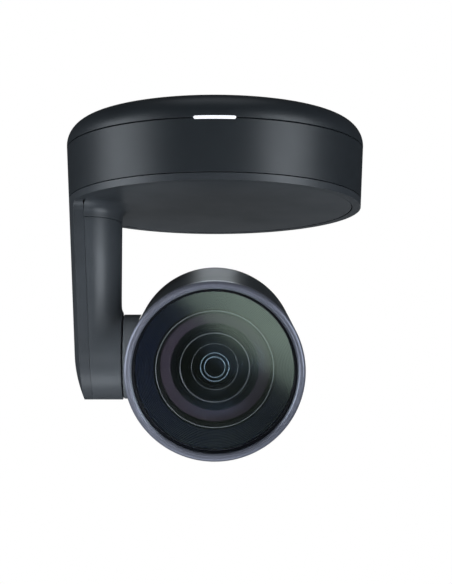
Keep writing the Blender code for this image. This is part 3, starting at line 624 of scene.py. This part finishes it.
def make_yoke():
    """The turntable's rim and the arm's outer shell, moulded as one, with a fillet where they meet."""
    half, top, bottom, inner = ARM_HALF_DEPTH, SEAM_LOW - 0.4, TILT_Z - ARM_HALF_DEPTH - 5, 60.0
    heights = spaced(top, TILT_Z, 2) + spaced(TILT_Z, bottom, 16)[1:]
    profile = [(drum_radius(z) - tip_inset(z), z) for z in heights] + [(inner, bottom), (inner, top)]
    yoke = solid("yoke", lathe(profile, FINE))

    # All below the rim goes, except the arm and its fillets.
    fillet, far, deep = 5.0, 95.0, -175.0
    outline = [(-far, UNDERSIDE)]
    outline += arc((-half - fillet, UNDERSIDE - fillet), fillet, 90, 0, 12)
    outline += arc((0, TILT_Z), half, 180, 360, 64)
    outline += arc((half + fillet, UNDERSIDE - fillet), fillet, 180, 90, 12)
    outline += [(far, UNDERSIDE), (far, deep), (-far, deep)]
    along_x = Matrix(((0, 0, 1, 0), (1, 0, 0, 0), (0, 1, 0, 0), (0, 0, 0, 1)))
    boolean(yoke, prism(outline, -far, far), along_x)

    # The arm ends at its seam with the inner cover, and the rim is a ring.
    under = UNDERSIDE - GAP
    seam = [(seam_x(under) - SEAM_GAP, under), (seam_x(deep) - SEAM_GAP, deep), (far, deep),
            (far, UNDERSIDE), (0, UNDERSIDE), (0, under)]
    along_y = Matrix(((1, 0, 0, 0), (0, 0, -1, 0), (0, 1, 0, 0), (0, 0, 0, 1)))
    boolean(yoke, prism(seam, -far, far), along_y)
    low, high = under - 0.2, top + 5
    boolean(yoke, lathe([(0, low), (RIM_INNER, low), (RIM_INNER, high), (0, high)], FINE))

    def share(at):
        """Full rounding on the outer face and a fifth of it elsewhere."""
        face = drum_radius(at.z) - tip_inset(at.z)
        return 1.0 if math.hypot(at.x, at.y) > face - 0.2 else 0.2

    weigh_edges(yoke, share)
    # The yoke's lighter plastic is painted light on the arm and the rim.
    finish_piece(yoke, "turntable", "shell", ["yoke_shell"], look=YOKE_PAINTED_LIGHT, bevel=0.9, segments=4)


def column_outline(flare, steps=40):
    """The column's section, a half ellipse on the flat seam, spread by `flare` and kept inside the rim."""
    flat = seam_x(UNDERSIDE) + GAP
    depth, rim_clearance = ARM_INNER_X - flat + flare, 0.8
    points = []
    for turn in spaced(-math.pi / 2, math.pi / 2, steps):
        x, y = flat + depth * math.cos(turn), (ARM_HALF_DEPTH + flare) * math.sin(turn)
        shrink = min(1.0, (RIM_INNER - rim_clearance) / math.hypot(x, y))
        points.append((x * shrink, y * shrink))
    return points


def make_underside():
    """The flat disc under the drum, with the arm's collar flaring out of it."""
    edge, top = RIM_INNER - GAP, -41.3
    disc = [(0, COVER_FACE), (edge, COVER_FACE, 0.35), (edge, top), (0, top)]
    cover = solid("underside", lathe(disc, FINE))
    rows = [[(x, y, COVER_FACE + 1.5) for x, y in column_outline(COLLAR_FILLET)]]
    for turn in spaced(math.radians(84), 0.0, 12):
        z = COVER_FACE - COLLAR_FILLET * (1 - math.sin(turn))
        rows.append([(x, y, z) for x, y in column_outline(COLLAR_FILLET * (1 - math.cos(turn)))])
    rows.append([(x, y, ARM_TOP) for x, y in column_outline(0.0)])
    boolean(cover, loft(rows), operation="UNION")
    finish_piece(cover, "turntable", "cover", ["turntable_cover"])


def cover_half_width(x_share, z_share, half):
    """Half the arm's depth where the upright column and the sideways elbow run into each other.

    x_share is 1 at the column's inner line, and z_share is 1 at the top of the elbow's cylinder.
    """
    if x_share <= 0 or z_share <= 0:
        return half
    power = BLEND_POWER + (CORNER_POWER - BLEND_POWER) * min(1.0, x_share) ** 6
    nearer = 1.0 / (x_share ** -power + z_share ** -power) ** (1 / power)
    return half * math.sqrt(max(0.0, 1 - nearer * nearer))


def eased(start, end, steps):
    """Numbers from start to end that crowd together towards the end."""
    return [start + (end - start) * math.sin(math.pi / 2 * i / steps) for i in range(steps + 1)]


def arm_cover_row(z):
    """One level section of the arm's cover, from the seam round to the seam again."""
    half, edge, side_steps, edge_steps, face_steps = ARM_HALF_DEPTH, 0.7, 30, 4, 10
    start = seam_x(z)
    depth = ARM_INNER_X - start
    face = (ELBOW_X - start) / depth
    above = (z - TILT_Z) / half
    reach = face if above <= 1.0 else min(face, (1 - above ** -CORNER_POWER) ** (-1 / CORNER_POWER))
    rounding = face - edge / depth
    shoulder = min(reach, rounding)

    def width(x_share):
        if above < 0:
            full = half * math.sqrt(max(0.0, 1 - above * above))
        else:
            full = cover_half_width(x_share, above, half)
        over = max(0.0, x_share - rounding) * depth / edge
        return max(0.0, full - edge * (1 - math.sqrt(max(0.0, 1 - over * over))))

    shares = eased(0.0, shoulder, side_steps) + eased(shoulder, reach, edge_steps)[1:]
    front = [(start + depth * share, -width(share), z) for share in shares]
    end_x, end_y, _ = front[-1]
    across = [(end_x, y, z) for y in spaced(end_y, -end_y, face_steps)[1:-1]]
    return front + across + [(x, -y, z) for x, y, z in front[::-1]]


def make_arm_cover():
    """The column, the neck where it runs into the elbow, and the elbow down to its tip."""
    neck_top, neck_low = -88.0, -102.0
    levels = spaced(ARM_TOP - GAP, neck_top, 8) + spaced(neck_top, neck_low, 30)[1:]
    levels += spaced(neck_low, TILT_Z, 12)[1:] + eased(TILT_Z, TILT_Z - ARM_HALF_DEPTH, 28)[1:]
    rows = [arm_cover_row(z) for z in levels]
    finish_piece(solid("arm_inner_cover", loft(rows)), "turntable", "cover", ["arm_cover"], sharp=38.0)


# ---------------------------------------------------------------- head
def make_barrel():
    """The head's tapered barrel, with a hole for the hub."""
    front, rear, hole = RING_SEAM - GAP, HEAD_SEAM, 16.0
    barrel = solid("head_barrel", lathe([
        (head_radius(rear) - WALL, rear), (head_radius(rear), rear, 0.3), (head_radius(front), front, 0.3),
        (head_radius(front) - WALL, front),
    ], FINE), LENS)
    boolean(barrel, lathe([(0, -60), (hole, -60), (hole, -20), (0, -20)], SMALL), HUB)
    finish_piece(barrel, "head", "shell", ["barrel_shell"])


def make_rear_cap():
    start, floor = HEAD_SEAM - GAP, HEAD_REAR + WALL
    outer = head_radius(start)
    edge = [(outer - REAR_EDGE * across, HEAD_REAR + REAR_EDGE * back)
            for across, back in rounded_edge(REAR_POWER, 24)]
    inside = [(0, floor), (outer - REAR_EDGE, floor, 3.0), (outer - WALL, HEAD_REAR + REAR_EDGE, 3.0),
              (outer - WALL, start)]
    profile = [(outer, start, 0.3)] + edge[1:] + [(0, HEAD_REAR)] + inside
    cap = solid("head_rear_cap", lathe(profile, FINE), LENS)
    finish_piece(cap, "head", "shell", ["rear_cap"])


def make_hub():
    """The short hub at the tilt axis, cut to the barrel's round side."""
    end, floor, bore, clearance = -45.9, -44.2, 6.9, 0.25
    inner = HUB_RADIUS - WALL
    hub = solid("hub", lathe([
        (bore, end), (HUB_RADIUS, end, 0.6), (HUB_RADIUS, -28.0), (inner, -28.0), (inner, floor),
        (bore, floor),
    ], MEDIUM), HUB)
    clear = [(0, -60), (head_radius(-60) + clearance, -60), (head_radius(60) + clearance, 60), (0, 60)]
    boolean(hub, lathe(clear, FINE), LENS)
    # The hub's lighter plastic is painted light.
    finish_piece(hub, "head", "shell", ["tilt_hub"], look=HUB_PAINTED_LIGHT)


def make_bezel():
    """The front ring, with a fine groove turned in its face."""
    face, shoulder, inner = HEAD_FRONT, HEAD_FRONT - 1.2, RING_INNER - 1.2
    bezel = [
        (inner, RING_SEAM), (head_radius(RING_SEAM), RING_SEAM, 0.3), (head_radius(shoulder), shoulder, 0.5),
        (HEAD_RADIUS - 1.1, face - 0.05, 0.6), (41.75, face, 0.12), (41.6, face - 0.2, 0.06),
        (41.4, face - 0.2, 0.06), (41.2, face - 0.05, 0.12), (RING_INNER + 0.5, face - 0.6, 0.3),
        (RING_INNER, face - 1.4, 0.3), (RING_INNER, 47.2), (inner, 47.2),
    ]
    finish_piece(solid("front_bezel", lathe(bezel, FINE), LENS), "head", "bezel", ["front_ring"])


def element(radius, front, rear, bulge, hollow, steps=24):
    """The profile of a glass element: a domed front face and a hollowed rear face."""
    shares = spaced(0.0, 1.0, steps)
    face = [(radius * s, front + bulge * (1 - s * s)) for s in shares]
    back = [(radius * s, rear + hollow * (1 - s * s)) for s in shares]
    return face + back[::-1]


def make_window():
    """The front window, slightly domed, and the black seal round it."""
    window = solid("window", lathe(element(39.8, 49.3, 47.6, 2.0, 1.0), FINE), LENS)
    finish_piece(window, "head", "glass", ["front_window"], look=WINDOW_GLASS)
    seal = [(38.7, 50.75), (39.95, 50.75), (39.95, 51.6, 0.3), (38.9, 51.2, 0.2)]
    finish_piece(solid("window_seal", lathe(seal, FINE), LENS), "head", "rubber", look=STEP_BLACK)


def make_baffle():
    """The ridged cone between the window and the first element."""
    ridges, outer, inner, front, rear, back, rim = 12, 38.2, 29.6, 46.6, 43.4, 42.3, 38.6
    step_r, step_a = (inner - outer) / ridges, (rear - front) / ridges
    stairs = []
    for i in range(ridges):
        radius, height = outer + step_r * i, front + step_a * i
        floor = height + step_a * 1.6
        stairs += [(radius, height, 0.08), (radius + step_r * 0.15, floor, 0.08),
                   (radius + step_r * 0.75, floor, 0.08)]
    stairs += [(inner, rear - 0.6), (inner, back), (31.2, back), (rim, 43.2), (rim, front)]
    baffle = solid("baffle", lathe(stairs, FINE), LENS)
    finish_piece(baffle, "head", "black", ["lens_baffle"], look=BAFFLE_BLACK)


def make_retainer():
    """The ring that clamps the first element, with a bright bead on its edge."""
    back, lip = 42.3, 43.9
    clamp = [(27.0, back), (29.1, back), (29.1, 43.6, 0.1), (28.7, lip, 0.1), (28.45, lip, 0.1),
             (28.2, 43.2, 0.1), (27.0, 42.9)]
    retainer = solid("retainer", lathe(clamp, FINE), LENS)
    finish_piece(retainer, "head", "steel", ["lens_retainer"], look=STEP_BLACK)
    bead = [(28.45, 43.85), (28.75, 43.85), (28.75, 44.05, 0.1), (28.45, 44.05, 0.1)]
    finish_piece(solid("retainer_edge", lathe(bead, FINE), LENS), "head", "steel", look=EDGE_METAL)


def make_lens_cell():
    """The lens barrel, a seat round the second element coloured brown as a painted reflection of the front
    element, and a collar in front of it.
    """
    front_tube, main_tube, inner_tube, rear_hole, rear = 30.9, 21.0, 18.9, 8.5, -20.0
    housing = [
        (28.6, 42.0), (front_tube, 42.0), (front_tube, 28.0), (main_tube, 20.0), (main_tube, rear),
        (rear_hole, rear), (rear_hole, rear + 2.0), (inner_tube, rear + 2.0), (inner_tube, 25.6),
        (10.6, 25.6), (10.6, 27.0), (11.2, 28.6, 0.2), (13.4, 29.9, 0.2), (16.9, 31.4, 0.3),
        (16.9, 33.0, 0.3), (21.5, 34.6, 0.2), (26.9, 35.9, 0.2), (28.6, 36.1),
    ]
    cell = solid("objective_housing", lathe(housing, MEDIUM), LENS)
    finish_piece(cell, "head", "black", ["lens_barrel"], look=STEP_BLACK)
    flange = [(21.6, 34.65), (26.9, 35.92), (26.9, 36.3, 0.1), (21.6, 35.2, 0.2)]
    # The seat's brown is a painted reflection of the front element.
    finish_piece(solid("painted_reflection_seat", lathe(flange, FINE), LENS), "head", "black", look=PAINTED_REFLECTION_BROWN)
    collar = [(16.7, 33.1), (18.6, 33.8), (18.0, 37.6, 0.3), (16.7, 37.9, 0.2)]
    finish_piece(solid("inner_collar", lathe(collar, FINE), LENS), "head", "black", look=STEP_BLACK)


def make_glass():
    """The first three glass elements."""
    for name, sizes, look in (
        ("front_element", (28.3, 38.6, 36.4, 6.2, 3.8), BLUE_COAT),
        ("second_element", (16.6, 33.4, 31.9, 3.4, 1.8), LOOKS["glass"]),
        ("third_element", (10.3, 26.8, 25.9, 2.4, 0.8), LOOKS["glass"]),
    ):
        glass = solid(name + "_glass", lathe(element(*sizes), MEDIUM), LENS)
        finish_piece(glass, "head", "glass", [name], look=look)


def make_pupil():
    """The bright edges inside the lens, as fine wires, and the blue ring and dark disc they end in: the
    ring's blue is a painted reflection, lit by the lamps on top, and the disc's dark is painted shade.
    """
    for name, radius, height, wire, look in (
        ("collar_edge", 17.0, 37.95, 0.17, EDGE_METAL),
        ("inner_stop_edge", 11.4, 35.25, 0.09, EDGE_METAL),
        # The two pupil edges' blue is a painted reflection.
        ("pupil_outer_edge", 6.95, 36.25, 0.17, PUPIL_EDGE_PAINTED_REFLECTION),
        ("pupil_inner_edge", 5.05, 36.5, 0.17, PUPIL_EDGE_PAINTED_REFLECTION),
    ):
        edge = solid(name, lathe(arc((radius, height), wire, 0, 330, 11), MEDIUM), LENS)
        finish_piece(edge, "head", "steel", look=look)
    band = [(5.1, 36.4), (6.9, 36.15), (6.9, 36.2), (5.1, 36.45)]
    # The ring's blue is a painted reflection.
    finish_piece(solid("pupil_ring", lathe(band, MEDIUM), LENS), "head", "steel", look=PUPIL_PAINTED_REFLECTION)
    centre = [(0, 36.76), (5.0, 36.46), (5.0, 36.5), (0, 36.8)]
    # The dark disc is painted shade.
    finish_piece(solid("pupil", lathe(centre, MEDIUM), LENS), "head", "glass", look=PUPIL_PAINTED_SHADE)


make_cap()
make_pad()
make_tripod_socket()
make_band()
make_ports()
make_yoke()
make_underside()
make_arm_cover()
make_barrel()
make_rear_cap()
make_hub()
make_bezel()
make_window()
make_baffle()
make_retainer()
make_lens_cell()
make_glass()
make_pupil()


# ---------------------------------------------------------------- camera, floor and light
SENSOR_WIDTH = 36.0
FOCAL_LENGTH = 122.3
CAMERA_PLACE = (0.00215, -1.0, -0.2341)   # metres, like the floor's and the lights' sizes and places
CAMERA_PITCH = 98.346                     # degrees from looking straight down
CAMERA_TURN = -0.2
FLOOR_Z = -1.4
FLOOR_HALF = 12.0
FLOOR_GLOW = 0.7
DAYLIGHT = (0.86, 0.93, 1.0)
SKY = (0.95, 0.97, 1.0, 1.0)
SKY_LIGHT = 0.03
LIGHT_TARGET = Vector((0, 0, -0.08))


def make_camera():
    data = bpy.data.cameras.new("camera")
    data.sensor_width = SENSOR_WIDTH
    data.lens = FOCAL_LENGTH
    data.clip_end = 50.0
    camera = bpy.data.objects.new("camera", data)
    bpy.context.scene.collection.objects.link(camera)
    camera.location = CAMERA_PLACE
    camera.rotation_euler = (math.radians(CAMERA_PITCH), 0, math.radians(CAMERA_TURN))
    bpy.context.scene.camera = camera


def soft_light(name, azimuth, elevation, distance, size, radiance, roll=0):
    """A rectangular softbox aimed at the middle. Azimuth 0 is in front and 90 on the +X side."""
    turn, rise = math.radians(azimuth), math.radians(elevation)
    away = Vector((math.sin(turn) * math.cos(rise), -math.cos(turn) * math.cos(rise), math.sin(rise)))
    data = bpy.data.lights.new(name, "AREA")
    data.shape = "RECTANGLE"
    data.size, data.size_y = size
    data.energy = radiance * math.pi * size[0] * size[1]
    data.color = DAYLIGHT
    light = bpy.data.objects.new(name, data)
    bpy.context.scene.collection.objects.link(light)
    light.location = LIGHT_TARGET + away * distance
    turned = away.to_track_quat("Z", "Y").to_matrix() @ Matrix.Rotation(math.radians(roll), 3, "Z")
    light.rotation_euler = turned.to_euler()
    light.visible_camera = False


def spot_fill(name, place, target, cone, power):
    """A soft-edged spot that lifts what lies in shade and stays out of the reflections."""
    data = bpy.data.lights.new(name, "SPOT")
    data.energy = power
    data.spot_size = math.radians(cone)
    data.spot_blend = 1.0
    data.shadow_soft_size = 0.08
    light = bpy.data.objects.new(name, data)
    bpy.context.scene.collection.objects.link(light)
    light.location = place
    light.rotation_euler = (Vector(place) - Vector(target)).to_track_quat("Z", "Y").to_euler()
    light.visible_camera = False
    light.visible_glossy = False


def make_floor():
    """A plain pale floor, which looks brighter to the camera than the light it gives."""
    mesh = bmesh.new()
    bmesh.ops.create_grid(mesh, x_segments=1, y_segments=1, size=FLOOR_HALF)
    data = bpy.data.meshes.new("floor")
    mesh.to_mesh(data)
    mesh.free()
    floor = bpy.data.objects.new("floor", data)
    bpy.context.scene.collection.objects.link(floor)
    floor.location.z = FLOOR_Z
    nodes = Nodes("pale floor", (0.8, 0.8, 0.8), 0.9, specular=0.2)
    nodes.tint(nodes.noise(0.7, 1.0), (0.78, 0.78, 0.78), (0.82, 0.82, 0.82))
    paths = nodes.add("ShaderNodeLightPath")
    glow = nodes.add("ShaderNodeMath", operation="MULTIPLY")
    nodes.join(paths.outputs["Is Camera Ray"], glow.inputs[0])
    glow.inputs[1].default_value = FLOOR_GLOW
    nodes.shader.inputs["Emission Color"].default_value = SKY
    nodes.join(glow.outputs["Value"], nodes.shader.inputs["Emission Strength"])
    data.materials.append(nodes.material)


def make_world():
    """A white studio to the camera and a dimmer one to the object."""
    world = bpy.data.worlds.new("studio")
    world.use_nodes = True
    bpy.context.scene.world = world
    tree = world.node_tree
    shown = tree.nodes["Background"]
    shown.inputs["Color"].default_value = (1, 1, 1, 1)
    shown.inputs["Strength"].default_value = 1.0
    lighting = tree.nodes.new("ShaderNodeBackground")
    lighting.inputs["Color"].default_value = SKY
    lighting.inputs["Strength"].default_value = SKY_LIGHT
    paths = tree.nodes.new("ShaderNodeLightPath")
    mix = tree.nodes.new("ShaderNodeMixShader")
    tree.links.new(paths.outputs["Is Camera Ray"], mix.inputs["Fac"])
    tree.links.new(lighting.outputs["Background"], mix.inputs[1])
    tree.links.new(shown.outputs["Background"], mix.inputs[2])
    tree.links.new(mix.outputs["Shader"], tree.nodes["World Output"].inputs["Surface"])


make_camera()
make_floor()
make_world()
soft_light("left softbox", -72.5, 0, 1.5, (1.1, 1.1), 4.0)
soft_light("right softbox", 55, 0, 1.5, (0.92, 1.1), 5.0)
soft_light("low front card", 6.0, -14.0, 1.5, (1.0, 0.28), 1.6, roll=-38)
soft_light("under card", -10, -78, 1.3, (1.0, 1.0), 1.9)
soft_light("overhead card", 0, 84, 1.6, (1.0, 1.0), 0.75)
soft_light("back card", 180, 15, 1.5, (0.13, 0.2), 9.0)
soft_light("low back card", 180, -14, 1.5, (1.0, 0.3), 0.3)
spot_fill("arm and lens spot", (-0.14, -1.25, -0.5), (-0.06, 0, -0.13), 8.0, 112.0)
spot_fill("rear fill", (0.3, 1.5, 0.25), (0, 0, -0.09), 12.0, 180.0)
bpy.context.scene.view_settings.view_transform = "Standard"
